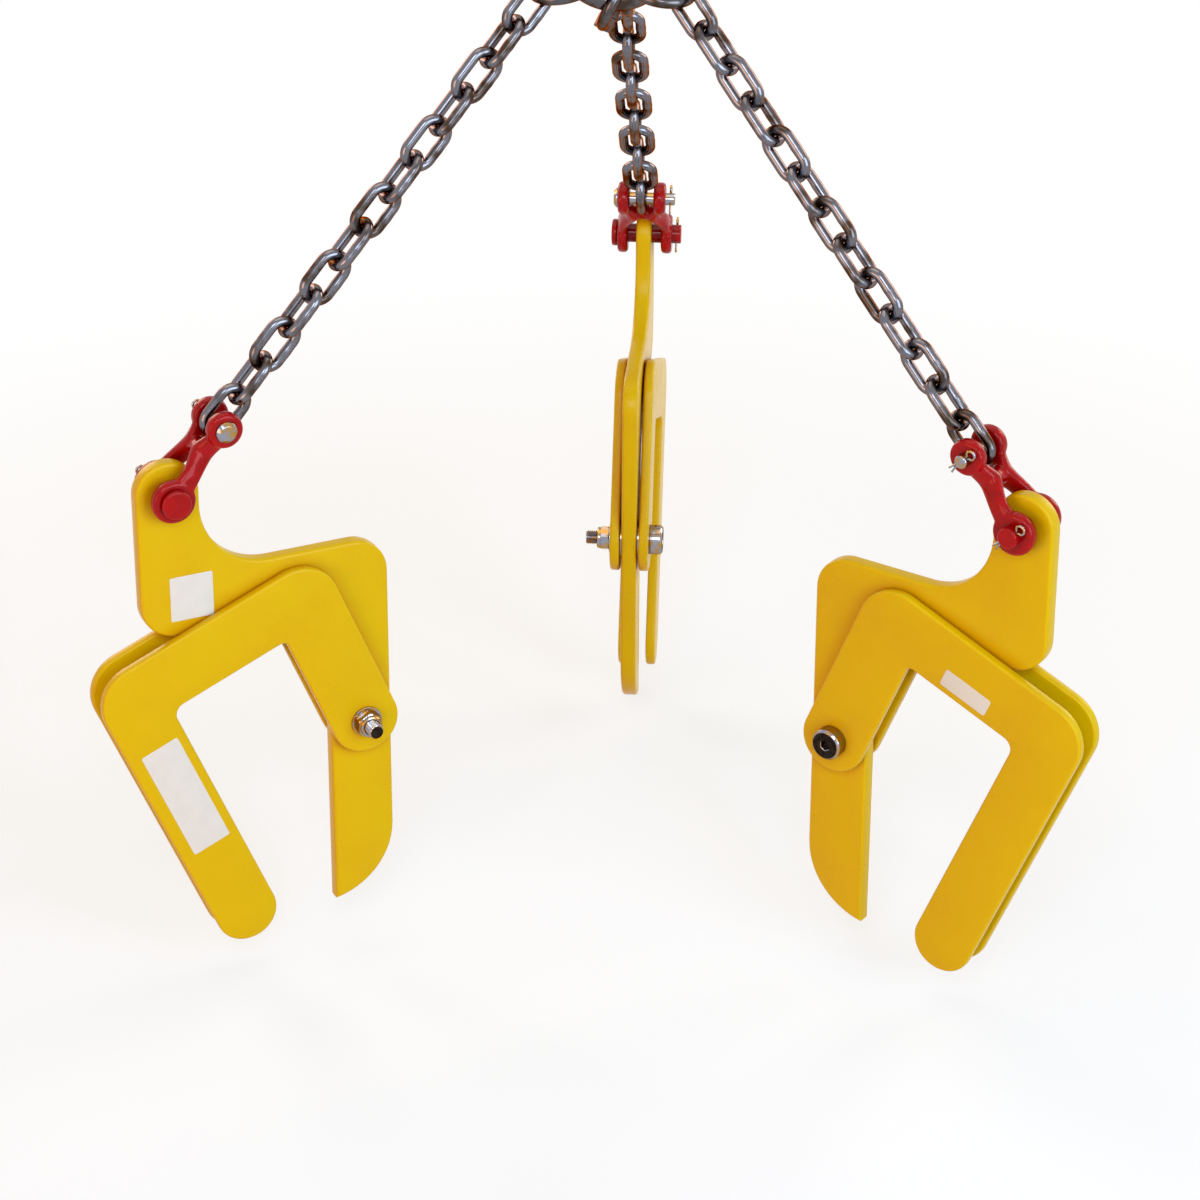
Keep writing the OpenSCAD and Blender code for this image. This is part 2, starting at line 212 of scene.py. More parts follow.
@dataclass(frozen=True)
class SteelFinish(Finish):
    """Bare or plated steel: a metal whose tint and gloss drift from patch to patch."""

    bright: str
    dull: str
    rough_low: float
    rough_high: float
    patch: float
    grain: float
    height: float
    edge: str
    dull_share: float = 0.47
    fade: float = 0.08
    gloss_from: float = 0.35
    gloss_to: float = 0.65

    def surface(self, tree: Tree, where: Socket) -> Node:
        """Adds the patches of tint and gloss, the fine grain and the metal.

        Args:
            tree: the material's node tree.
            where: the surface's coordinates.

        Returns:
            The shader.
        """
        dull = (self.dull_share - self.fade, self.dull)
        bright = (self.dull_share + self.fade, self.bright)
        patches, tint = mottle(tree, where, Cloud(self.patch, 2.0), dull, bright)
        spans = {"From Min": self.gloss_from, "From Max": self.gloss_to}
        gloss = add_node(
            tree, "MapRange", spans | {"To Min": self.rough_high, "To Max": self.rough_low}, Value=patches
        )
        grain = relief(tree, where, Cloud(self.grain, 3.0, 0.55), self.height)
        metal = {"Metallic": 1.0, "Specular Tint": linear(self.edge)}
        return add_node(tree, "BsdfPrincipled", metal, Base_Color=tint, Roughness=gloss, Normal=grain)


@dataclass(frozen=True)
class PaintFinish(Finish):
    """A gloss paint film on steel, with the relief that the film leaves of what lies under it, and painted
    shade where faces lie close together.
    """

    colour: str
    deep: str
    # Colour of the painted shade where faces lie close together
    crease: str
    drift: float
    roughness: float
    shine: float
    peel: float
    peel_height: float
    skin: float
    skin_height: float
    reach: float = 14 * MM
    deep_to: float = 0.3
    plain_from: float = 0.62
    gloss_from: float = 0.3
    gloss_to: float = 0.7
    glossiest: float = 0.88
    dullest: float = 1.16

    def surface(self, tree: Tree, where: Socket) -> Node:
        """Adds the drifting tint, the painted shade in the creases, the film's relief and the paint.

        Args:
            tree: the material's node tree.
            where: the surface's coordinates.

        Returns:
            The shader.
        """
        deep, plain = (self.deep_to, self.deep), (self.plain_from, self.colour)
        drift, tint = mottle(tree, where, Cloud(self.drift, 4.0, 0.55), deep, plain)
        # Painted shade: where ambient occlusion finds two faces close together, the colour turns to a darker
        # shade colour
        occlusion = add_node(tree, "AmbientOcclusion", {"samples": 6, "Distance": self.reach})
        painted_shade = {"Color1": linear(self.crease)}
        shaded_tint = add_node(tree, "MixRGB", painted_shade, Fac=occlusion.outputs["AO"], Color2=tint)
        spans = {"From Min": self.gloss_from, "From Max": self.gloss_to}
        ends = {"To Min": self.roughness * self.glossiest, "To Max": self.roughness * self.dullest}
        gloss = add_node(tree, "MapRange", spans | ends, Value=drift)
        under = relief(tree, where, Cloud(self.skin, 2.0), self.skin_height)
        film = relief(tree, where, Cloud(self.peel, 1.0, 0.4), self.peel_height, under)
        paint = {"Metallic": 0.0, "IOR": 1.5, "Specular IOR Level": self.shine}
        return add_node(tree, "BsdfPrincipled", paint, Base_Color=shaded_tint, Roughness=gloss, Normal=film)


@dataclass(frozen=True)
class VinylFinish(Finish):
    """Blank label film: smooth white vinyl with a faint cast of glue under it."""

    colour: str
    deep: str
    drift: float = 14 * MM
    deep_to: float = 0.3
    plain_from: float = 0.6
    glue_height: float = 0.02 * MM

    def surface(self, tree: Tree, where: Socket) -> Node:
        """Adds the cast of the glue and the film.

        Args:
            tree: the material's node tree.
            where: the surface's coordinates.

        Returns:
            The shader.
        """
        deep, plain = (self.deep_to, self.deep), (self.plain_from, self.colour)
        cloud, tint = mottle(tree, where, Cloud(self.drift, 3.0), deep, plain)
        glue = add_node(tree, "Bump", {"Strength": 1.0, "Distance": self.glue_height}, Height=cloud)
        film = {"IOR": 1.46, "Roughness": 0.32}
        return add_node(tree, "BsdfPrincipled", film, Base_Color=tint, Normal=glue)


@dataclass(frozen=True)
class FloorFinish(Finish):
    """Matt white paper: it takes the lifter's shadow near by and is plain white further out."""

    colour: str
    bounce: str
    lift: float
    near: float
    far: float

    def surface(self, tree: Tree, where: Socket) -> Node:
        """Adds the paper that is seen, and the warmer one that only throws light back at the lifter.

        Args:
            tree: the material's node tree.
            where: the surface's coordinates.

        Returns:
            The shader.
        """
        flat = add_node(tree, "VectorMath", {"operation": "MULTIPLY", 1: (1.0, 1.0, 0.0)}, _0=where)
        reach = add_node(tree, "VectorMath", {"operation": "LENGTH"}, _0=flat).outputs["Value"]
        spread = {"interpolation_type": "SMOOTHSTEP", "From Min": self.near, "From Max": self.far}
        away = add_node(tree, "MapRange", spread, Value=reach)
        paper = add_node(tree, "BsdfDiffuse", {"Color": linear(self.colour)})
        glow = add_node(tree, "Emission", {"Color": linear(WHITE), "Strength": self.lift})
        white = add_node(tree, "Emission", {"Color": linear(WHITE), "Strength": 1.0})
        unseen = add_node(tree, "BsdfDiffuse", {"Color": linear(self.bounce)})
        both = add_node(tree, "AddShader", _0=paper, _1=glow)
        sheet = add_node(tree, "MixShader", _0=away, _1=both, _2=white)
        return add_node(tree, "MixShader", _0=seen_directly(tree), _1=unseen, _2=sheet)


def seen_directly(tree: Tree) -> Node:
    """Adds the test for a ray that shows the surroundings: to the camera, in gloss or through glass.

    Args:
        tree: the node tree.

    Returns:
        A node whose value is 1 for such a ray.
    """
    rays = add_node(tree, "LightPath")
    either = {"operation": "MAXIMUM"}
    gloss, glass = rays.outputs["Is Glossy Ray"], rays.outputs["Is Transmission Ray"]
    shown = add_node(tree, "Math", either, _0=gloss, _1=glass)
    return add_node(tree, "Math", either, _0=rays.outputs["Is Camera Ray"], _1=shown)


# Powder coat: a thick smooth film with a faint orange peel, with painted orange shade where plates lie close
# together
POWDER_COAT = PaintFinish(
    name="powder_coated_steel_plate",
    slot="yellow_paint",
    colour="#D8C104",
    deep="#D6BB03",
    # Painted shade colour for the creases
    crease="#C47E06",
    drift=70 * MM,
    roughness=0.28,
    shine=0.18,
    peel=2.4 * MM,
    peel_height=0.010 * MM,
    skin=22 * MM,
    skin_height=0.05 * MM,
)
# Dipped enamel over a drop forging: wet-looking, with the forging's lumps in its highlights and dark painted
# shade in its creases
RED_ENAMEL = PaintFinish(
    name="enamelled_forging",
    slot="red_paint",
    colour="#A8050B",
    deep="#92040A",
    # Painted shade colour for the creases
    crease="#5A0206",
    drift=9 * MM,
    roughness=0.14,
    shine=0.18,
    peel=1.6 * MM,
    peel_height=0.02 * MM,
    skin=5.5 * MM,
    skin_height=0.08 * MM,
)
# Alloy chain, tumbled and oiled: dark smooth wire, golden at its rims, with long blue-white highlights
CHAIN_STEEL = SteelFinish(
    name="oiled_alloy_chain_steel",
    slot="chain_steel",
    bright="#72727A",
    dull="#483E38",
    rough_low=0.16,
    rough_high=0.22,
    patch=22 * MM,
    grain=3.0 * MM,
    height=0.002 * MM,
    edge="#E89A50",
    dull_share=0.43,
)
# Drop-forged steel left as forged: darker, with the pits of its scale
FORGED_STEEL = SteelFinish(
    name="drop_forged_steel",
    slot="forged_steel",
    bright="#5E5C60",
    dull="#443A32",
    rough_low=0.18,
    rough_high=0.28,
    patch=16 * MM,
    grain=1.6 * MM,
    height=0.03 * MM,
    edge="#E89A50",
)
# Zinc plate with a yellow passivate: blue-grey and bright, brassy where the passivate is thick. Its crystals
# are far too fine to show, so its grain is drawn at about a millimetre
ZINC_PLATE = SteelFinish(
    name="passivated_zinc_plate",
    slot="zinc_steel",
    bright="#9396A3",
    dull="#B08A4C",
    rough_low=0.12,
    rough_high=0.20,
    patch=7 * MM,
    grain=0.9 * MM,
    height=0.004 * MM,
    edge="#E8C890",
    dull_share=0.49,
)
# Painted reflection on the bolt's flat end faces: nearly black satin steel that stands in for the dark
# surroundings they reflect. Its tool marks are drawn coarser than they are, so that they show
PAINTED_DARK_REFLECTION = SteelFinish(
    name="black_oxide_machined_face",
    slot="zinc_steel",
    bright="#302824",
    dull="#241C18",
    rough_low=0.30,
    rough_high=0.42,
    patch=5 * MM,
    grain=0.7 * MM,
    height=0.006 * MM,
    edge="#8A7A6C",
)
# Label film: blank, because the part carries no mark
LABEL_FILM = VinylFinish(name="white_label_vinyl", slot="yellow_paint", colour="#DDEBF2", deep="#D9E7EE")
# Matt paper of the studio, which is no part of the lifter and has no slot
STUDIO_PAPER = FloorFinish(
    name="matt_white_paper", slot="", colour="#A9B9CB", bounce="#D8B48C", lift=0.57, near=0.9, far=1.6
)


def in_scene(name: str, data: bpy.types.ID) -> bpy.types.Object:
    """Puts a mesh, curve, lamp or camera in the scene.

    Args:
        name: the object's name.
        data: what it shows.

    Returns:
        The new object.
    """
    obj = bpy.data.objects.new(name, data)
    bpy.context.scene.collection.objects.link(obj)
    return obj


def taken_out(obj: bpy.types.Object) -> Mesh:
    """Takes an object out of the scene again.

    Args:
        obj: the object; it is removed.

    Returns:
        The mesh that it had after its modifiers.
    """
    mesh = bpy.data.meshes.new_from_object(obj.evaluated_get(bpy.context.evaluated_depsgraph_get()))
    bpy.data.objects.remove(obj)
    return mesh


@dataclass
class Workshop:
    """Turns meshes into pieces of the scene, and keeps one material of each finish."""

    made: dict[str, bpy.types.Material] = field(default_factory=dict)

    def material(self, finish: Finish) -> bpy.types.Material:
        """The material of a finish, made once."""
        if finish.name not in self.made:
            self.made[finish.name] = finish.build()
        return self.made[finish.name]

    def piece(
        self,
        name: str,
        mesh: Mesh,
        finish: Finish,
        body: str,
        replaces: Sequence[str] = (),
        place: Matrix | None = None,
    ) -> None:
        """Adds a piece to the scene and hangs it on a body.

        Args:
            name: the piece's name.
            mesh: its mesh.
            finish: what it is made of.
            body: the CAD body that carries it.
            replaces: the CAD nodes that it stands for.
            place: where it goes, if its mesh isn't already in the row's frame.
        """
        obj = in_scene(name, mesh)
        if place is not None:
            obj.matrix_world = place
        if not mesh.materials:
            mesh.materials.append(self.material(finish))
        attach(obj, body)
        if replaces:
            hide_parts(*replaces)
        LOG.info("%s: %d faces, %s, on %s", name, len(mesh.polygons), finish.name, body)

    def stand_in(
        self, node: str, word: str, mesh: Mesh, finish: Finish, body: str, place: Matrix | None = None
    ) -> None:
        """Adds a piece that takes a CAD node's place, named for the node and by a word of its own."""
        self.piece(f"{node}_{word}", mesh, finish, body, [node], place)

    def dress_node(self, node: str, finish: Finish) -> None:
        """Gives a carried-over CAD node its material.

        Args:
            node: the CAD node.
            finish: what it is made of.
        """
        obj = frame["nodes"][node]
        obj.data.materials.clear()
        obj.data.materials.append(self.material(finish))
        LOG.info("%s: CAD node, %s", node, finish.name)


def circle(steps: int) -> list[float]:
    """The angles of even steps round a circle."""
    return [2 * math.pi * k / steps for k in range(steps)]


def to_mesh(name: str, bm: bmesh.types.BMesh, sharp: float = SHARP) -> Mesh:
    """Turns a bmesh into a mesh that is smooth but for its sharp edges.

    Args:
        name: the mesh's name.
        bm: the geometry; it is freed.
        sharp: the angle in degrees above which an edge stays sharp.

    Returns:
        The mesh.
    """
    bmesh.ops.recalc_face_normals(bm, faces=bm.faces)
    mesh = bpy.data.meshes.new(name)
    bm.to_mesh(mesh)
    bm.free()
    mesh.shade_smooth()
    mesh.set_sharp_from_angle(angle=math.radians(sharp))
    return mesh


def loft(name: str, parts: Iterable[Rings], closed: bool = False, sharp: float = SHARP) -> Mesh:
    """Skins sets of rings with quads and makes one mesh of them.

    Args:
        name: the mesh's name.
        parts: sets of rings; the rings of a set go in order and have the same number of points.
        closed: joins a set's last ring to its first, where otherwise each gets a flat end.
        sharp: the angle in degrees above which an edge stays sharp.

    Returns:
        The mesh.
    """
    bm = bmesh.new()
    for rings in parts:
        made = [[bm.verts.new(p) for p in ring] for ring in rings]
        for a, b in zip(made, made[1:] + made[:1] if closed else made[1:]):
            for i in range(len(a)):
                j = (i + 1) % len(a)
                bm.faces.new((a[i], a[j], b[j], b[i]))
        if not closed:
            bm.faces.new(list(reversed(made[0])))
            bm.faces.new(made[-1])
    return to_mesh(name, bm, sharp)


def polar_rings(rings: Sequence[tuple[Radius, float]], sides: int) -> Rings:
    """Rings about Z whose radius may change with the angle.

    Args:
        rings: radius, or a function of the angle that gives it, and height.
        sides: points in each ring.

    Returns:
        The rings' points.
    """
    made = []
    for radius, z in rings:
        reach = [(radius(a) if callable(radius) else radius, a) for a in circle(sides)]
        made.append([Vector((r * math.cos(a), r * math.sin(a), z)) for r, a in reach])
    return made


def about_y(rings: Rings, x: float = 0.0, y: float = 0.0) -> Rings:
    """Lays rings about Z down to lie about +Y, and moves them by x and y."""
    return [[Vector((x + p.x, y + p.z, -p.y)) for p in ring] for ring in rings]


def hexagon(flats: float) -> Callable[[float], float]:
    """The radius of a hexagon by angle.

    Args:
        flats: its width across the flats.

    Returns:
        A function of the angle in radians.
    """

    def radius(angle: float) -> float:
        """Distance from the centre to the hexagon at an angle."""
        step = math.pi / 3
        return flats / 2 / math.cos((angle + step / 2) % step - step / 2)

    return radius


def softened(corners: Sequence[Pair], soft: float, steps: int = 4) -> list[Pair]:
    """Rounds the inner corners of a turned profile.

    Args:
        corners: radius and height of each corner of the profile.
        soft: the length cut from each side of a corner.
        steps: points on each rounded corner.

    Returns:
        The profile with its corners rounded.
    """
    out = [corners[0]]
    for before, here, after in zip(corners, corners[1:], corners[2:]):
        a, b, c = Vector(before), Vector(here), Vector(after)
        cut = min(soft, 0.45 * (a - b).length, 0.45 * (c - b).length)
        p, q = b + (a - b).normalized() * cut, b + (c - b).normalized() * cut
        for k in range(steps + 1):
            t = k / steps
            point = p * (1 - t) ** 2 + b * 2 * t * (1 - t) + q * t**2
            out.append((point.x, point.y))
    out.append(corners[-1])
    return out


def sweep(path: Sequence[Vector], normal: Vector, radii: Sequence[float], closed: bool, sides: int) -> Rings:
    """Rings of a round bar along a path that lies in a plane.

    Args:
        path: the bar's centre line.
        normal: the normal of the path's plane.
        radii: the bar's radius at each point of the path.
        closed: whether the path is a loop.
        sides: points in each ring.

    Returns:
        The rings' points.
    """
    rings = []
    count = len(path)
    for i, (point, r) in enumerate(zip(path, radii)):
        ahead = path[(i + 1) % count] if closed or i + 1 < count else point
        behind = path[i - 1] if closed or i else point
        side = (ahead - behind).normalized().cross(normal)
        rings.append([point + (side * math.cos(a) + normal * math.sin(a)) * r for a in circle(sides)])
    return rings


def leg_matrix(at: Vector, along: Vector, across: Vector) -> Matrix:
    """The frame of a piece that hangs in a leg: X along it, Y along its pins.

    Args:
        at: its origin.
        along: its X direction.
        across: its Y direction.

    Returns:
        The matrix from the piece's frame to the row's.
    """
    x = along.normalized()
    y = (across - x * across.dot(x)).normalized()
    return Matrix.Translation(at) @ Matrix((x, y, x.cross(y))).transposed().to_4x4()


def joint_at(name: str) -> Vector:
    """Where a joint's pin is at rest."""
    return Vector(JOINTS[name]["pos_m"])


def cad_shape(node: str) -> bmesh.types.BMesh:
    """A CAD node's geometry, with its doubled points joined.

    Args:
        node: the CAD node.

    Returns:
        The geometry, in the row's frame.
    """
    bm = bmesh.new()
    bm.from_mesh(frame["nodes"][node].data)
    bmesh.ops.remove_doubles(bm, verts=bm.verts, dist=WELD)
    return bm


def solids_of(node: str) -> list[np.ndarray]:
    """The vertices of each separate solid in a CAD node.

    Args:
        node: the CAD node.

    Returns:
        One array of points for each solid, in the row's frame.
    """
    bm = cad_shape(node)
    # Taken in the order of the vertices, so that each run gives the same
    left = set(bm.verts)
    solids = []
    for start in bm.verts:
        if start not in left:
            continue
        left.discard(start)
        found, edge = [start], [start]
        while edge:
            for e in edge.pop().link_edges:
                for v in e.verts:
                    if v in left:
                        left.discard(v)
                        found.append(v)
                        edge.append(v)
        solids.append(np.array([v.co[:] for v in found]))
    bm.free()
    return solids


@dataclass(frozen=True)
class WeldedLink:
    """An oblong link of round bar, with the swell of its weld half way along one side.

    The bar keeps the share drawn of its thickness, and weld is how far the swell reaches. The last three
    are the steps on each end, on each straight side and round the bar.
    """

    bar: float
    inside: float
    width: float
    drawn: float
    swell: float
    weld: float
    arc: int
    line: int
    sides: int

    def rings(self, out: Vector, over: Vector) -> Rings:
        """Rings of the bar round the whole link, with the link's middle at the origin.

        Args:
            out: the link's long direction.
            over: the direction towards its welded side.

        Returns:
            The rings' points.
        """
        bend = (self.width - self.bar) / 2
        run = (self.inside + self.bar) / 2 - bend
        path: list[Vector] = []
        for side in (1, -1):
            for k in range(self.arc + 1):
                a = math.pi * (k / self.arc - 0.5)
                path.append(side * (out * (run + bend * math.cos(a)) + over * bend * math.sin(a)))
            path += [side * (out * run * (1 - 2 * k / self.line) + over * bend) for k in range(1, self.line)]
        gaps = [(point - over * bend).length / self.weld for point in path]
        radii = [self.bar / 2 * (self.drawn + self.swell * math.exp(-gap * gap)) for gap in gaps]
        return sweep(path, out.cross(over), radii, True, self.sides)


@dataclass
class Chain:
    """Welded round-wire chain, built link by link on the CAD's links."""

    shop: Workshop
    link: WeldedLink = WeldedLink(
        bar=9.5 * MM, inside=36.4 * MM, width=35.0 * MM, drawn=0.985, swell=0.055, weld=3.2 * MM,
        arc=24, line=10, sides=20,
    )

    def build(self, node: str) -> None:
        """Builds the links of one stretch of chain as one piece.

        Args:
            node: the stretch's CAD node, and the body of the same name.
        """
        rings = self.link.rings(Vector((1, 0, 0)), Vector((0, 1, 0)))
        links = []
        for points in solids_of(node):
            middle = Vector((points.max(0) + points.min(0)) / 2)
            spread = points - points.mean(0)
            _, axes = np.linalg.eigh(spread.T @ spread)
            along, broad = Vector(axes[:, 2]), Vector(axes[:, 1])
            if along.z < 0:
                along.negate()
            place = leg_matrix(middle, along, broad)
            links.append([[place @ p for p in ring] for ring in rings])
        self.shop.stand_in(node, "links", loft(node, links, closed=True), CHAIN_STEEL, node)


@dataclass
class MasterLink:
    """The oblong link on the crane hook, forged from round bar, with its weld."""

    shop: Workshop
    link: WeldedLink = WeldedLink(
        bar=19.0 * MM, inside=140.0 * MM, width=108.0 * MM, drawn=0.99, swell=0.03, weld=9.115 * MM,
        arc=40, line=16, sides=32,
    )

    def build(self) -> None:
        """Builds the link as one piece, hanging from the origin."""
        drop = Vector((0, 0, -self.link.inside / 2))
        rings = self.link.rings(Vector((0, 0, 1)), Vector((-1, 0, 0)))
        mesh = loft("master_link_bar", [[[drop + p for p in ring] for ring in rings]], closed=True)
        self.shop.stand_in("master_link", "bar", mesh, FORGED_STEEL, "master")


@dataclass
class CouplingLink:
    """A two-part coupling link: forged halves with softened corners, held by a load pin."""

    shop: Workshop
    voxel: float = 0.75 * MM
    smoothing: int = 6

    def build(self, leg: Leg) -> None:
        """Builds both halves of one leg's coupling link, and gives its pin its material.

        Args:
            leg: the leg.
        """
        for half in ("lower", "upper"):
            node = f"coupler_{half}_{leg.label}"
            forged = soften(to_mesh("rough", cad_shape(node)), node, self.voxel, self.smoothing)
            self.shop.stand_in(node, "forging", forged, FORGED_STEEL, node)
        self.shop.dress_node(f"coupler_pin_{leg.label}", ZINC_PLATE)


def soften(mesh: Mesh, name: str, voxel: float, smoothing: int) -> Mesh:
    """Remeshes a closed mesh and melts its corners together.

    Args:
        mesh: the rough shape; it may be several overlapping shells.
        name: the new mesh's name.
        voxel: the size of the new faces.
        smoothing: how many times the corners are relaxed.

    Returns:
        The smooth mesh.
    """
    rough = in_scene("rough", mesh)
    remesh = rough.modifiers.new("remesh", "REMESH")
    remesh.mode = "VOXEL"
    remesh.voxel_size = voxel
    relax = rough.modifiers.new("relax", "SMOOTH")
    relax.factor = 0.5
    relax.iterations = smoothing
    smooth = taken_out(rough)
    smooth.name = name
    smooth.materials.clear()
    smooth.shade_smooth()
    return smooth


@dataclass
class TwinClevis:
    """Forged twin clevis: two forks back to back, with its two pins and their split cotters.

    Its frame has the lug pin across the origin, along +Y, and +X to the chain pin.
    """

    shop: Workshop
    length: float = 76.0 * MM
    lug_gap: float = 33.0 * MM
    lug_ear: float = 11.0 * MM
    lug_radius: float = 20.0 * MM
    chain_gap: float = 23.5 * MM
    chain_ear: float = 12.0 * MM
    chain_radius: float = 16.5 * MM
    lug_pin: float = 19.0 * MM
    chain_pin: float = 12.0 * MM
    past: float = 9.0 * MM
    cotter: float = 3.2 * MM
    play: float = 0.1 * MM
    saddle: float = 48.5 * MM
    web: float = 10.0 * MM
    web_half: Pair = (7.4 * MM, 8.2 * MM)
    web_flare: Pair = (2.6 * MM, 1.6 * MM)
    ear_soft: float = 4.6 * MM
    squareness: float = 2.8
    voxel: float = 0.8 * MM
    smoothing: int = 8

    @property
    def lug_middle(self) -> float:
        """Distance of a lug ear's middle from the clevis's centre plane."""
        return (self.lug_gap + self.lug_ear) / 2

    @property
    def chain_middle(self) -> float:
        """Distance of a chain ear's middle from the clevis's centre plane."""
        return (self.chain_gap + self.chain_ear) / 2

    def body_mesh(self) -> Mesh:
        """The forging: four round ears, two curved arms and the saddle between them, melted into one.

        Returns:
            The mesh, in the clevis's frame.
        """
        parts = []
        for side in (1, -1):
            lug_y, chain_y = side * self.lug_middle, side * self.chain_middle
            parts.append(self.ear_rings(0, lug_y, self.lug_radius, self.lug_ear))
            parts.append(self.ear_rings(self.length, chain_y, self.chain_radius, self.chain_ear))
            parts.append(self.arm_rings(side))
        parts.append(self.saddle_rings())
        return soften(loft("clevis_rough", parts), "twin_clevis_forging", self.voxel, self.smoothing)

    def ear_rings(self, x: float, y: float, radius: float, thick: float) -> Rings:
        """A round ear whose rim the forging die has rounded almost to a half circle.

        Args:
            x: distance of the ear's pin from the lug pin.
            y: distance of the ear's middle from the centre plane.
            radius: the ear's radius.
            thick: its thickness.

        Returns:
            The rings' points.
        """
        half = thick / 2
        rim = softened([(AXIS, -half), (radius, -half), (radius, half), (AXIS, half)], self.ear_soft, 8)
        return about_y(polar_rings(rim, 64), x, y)

    def arm_rings(self, side: int) -> Rings:
        """One arm: out of the lug ear, in to the saddle and out again to the chain ear.

        Args:
            side: 1 or -1, the side of the clevis's centre plane.

        Returns:
            Rounded sections from one ear to the other.
        """
        lug, chain, saddle = self.lug_middle, self.chain_middle, self.saddle
        # Distance from the lug pin, distance from the centre plane, half thickness, half height
        stations = np.array(
            (
                (3 * MM, lug, 4.9 * MM, 11.5 * MM),
                (14 * MM, lug - 0.1 * MM, 5.0 * MM, 10.4 * MM),
                (24 * MM, lug - 1.2 * MM, 5.2 * MM, 9.1 * MM),
                (33 * MM, lug - 4.6 * MM, 6.0 * MM, 8.9 * MM),
                (saddle - 7 * MM, lug - 9.4 * MM, 7.2 * MM, 9.6 * MM),
                (saddle, 9.6 * MM, 8.0 * MM, 10.2 * MM),
                (saddle + 7 * MM, chain - 5.4 * MM, 6.8 * MM, 9.6 * MM),
                (saddle + 14 * MM, chain - 1.6 * MM, 5.8 * MM, 9.3 * MM),
                (self.length - 8 * MM, chain, 5.4 * MM, 10.2 * MM),
                (self.length - 2 * MM, chain, 5.4 * MM, 11.0 * MM),
            )
        )
        # A smooth curve through the stations, in five or six steps from each to the next
        slopes = np.gradient(stations, axis=0)
        rings = []
        for k in range(len(stations) - 1):
            for t in np.linspace(0, 1, 6, endpoint=k == len(stations) - 2):
                a, b = stations[k], stations[k + 1]
                h = t * t * (3 - 2 * t)
                bend = slopes[k] * t * (1 - t) ** 2 - slopes[k + 1] * t * t * (1 - t)
                x, y, half_y, half_z = a + (b - a) * h + bend
                rings.append(self.section(x, side * y, half_y, half_z))
        return rings

    def section(self, x: float, y: float, half_y: float, half_z: float) -> list[Vector]:
        """A rounded oblong section of an arm.

        Args:
            x: its distance from the lug pin.
            y: its middle's distance from the centre plane.
            half_y: half its thickness.
            half_z: half its height.

        Returns:
            The section's points.
        """
        ring = []
        for a in circle(32):
            c, s = (math.copysign(abs(v) ** (2 / self.squareness), v) for v in (math.cos(a), math.sin(a)))
            ring.append(Vector((x, y + half_y * c, half_z * s)))
        return ring

    def saddle_rings(self) -> Rings:
        """The web between the arms, thinnest in the middle so that it arches over eye and link.

        Returns:
            Oval sections from one arm to the other.
        """
        rings = []
        for share in np.linspace(-1, 1, 17):
            x, z = (half + flare * share**2 for half, flare in zip(self.web_half, self.web_flare))
            oval = [(x * math.cos(a), z * math.sin(a)) for a in circle(28)]
            rings.append([Vector((self.saddle + u, self.web * share, v)) for u, v in oval])
        return rings

    def pin_mesh(self, d: float, ear_out: float, head: Sequence[Pair], soft: float) -> Mesh:
        """A headed pin along +Y with a bevelled plain end.

        Args:
            d: the shank's diameter.
            ear_out: distance of the ears' outer faces from the centre plane.
            head: radius and height of each corner of the head, from its seat.
            soft: how much of each corner of the head is rounded.

        Returns:
            The mesh.
        """
        shank, bevel = d / 2, 0.9 * MM
        start, seat = -ear_out - self.past, ear_out + self.play
        plain_end = [(0, start), (shank - bevel, start), (shank, start + bevel), (shank, seat)]
        crown = [(shank, seat), *((r, seat + h) for r, h in head), (0, seat + head[-1][1])]
        profile = softened(plain_end, 0.25 * MM) + softened(crown, soft, 6)[1:]
        rings = about_y(polar_rings([(max(r, AXIS), z) for r, z in profile], 64))
        return loft("headed_pin", [rings], sharp=TURNED_SHARP)

    def cotter_rings(self, d: float, ear_out: float) -> Iterable[Rings]:
        """Both halves of a split cotter: a thick eye, two legs through the pin, and ends a little apart.

        Args:
            d: the pin's diameter.
            ear_out: distance of the ears' outer faces from the centre plane.

        Yields:
            The rings of one half, then of the other.
        """
        y = -ear_out - self.past / 2
        leg, eye = self.cotter * 0.25, self.cotter * 1.08
        top, end = -d / 2 - 0.3 * MM, d / 2
        for side, apart in ((1, 0.7 * MM), (-1, 2.2 * MM)):
            # The half's centre line: distance from the middle, and depth in the pin
            line = []
            for k in range(17):
                a = 0.9 * math.pi * k / 16
                line.append((eye * math.sin(a) + leg * k / 16, top - eye * (1.25 + math.cos(a))))
            thick = [self.cotter * 0.36] * len(line)
            line += [(leg, top + 0.6 * MM), (leg, 0), (leg, end)]
            line += [(leg + apart * (k / 6) ** 1.5, end + k * 1.6 * MM) for k in range(1, 7)]
            thick += [self.cotter * 0.30] * (len(line) - len(thick))
            yield sweep([Vector((side * x, y, z)) for x, z in line], Vector((0, 1, 0)), thick, False, 14)

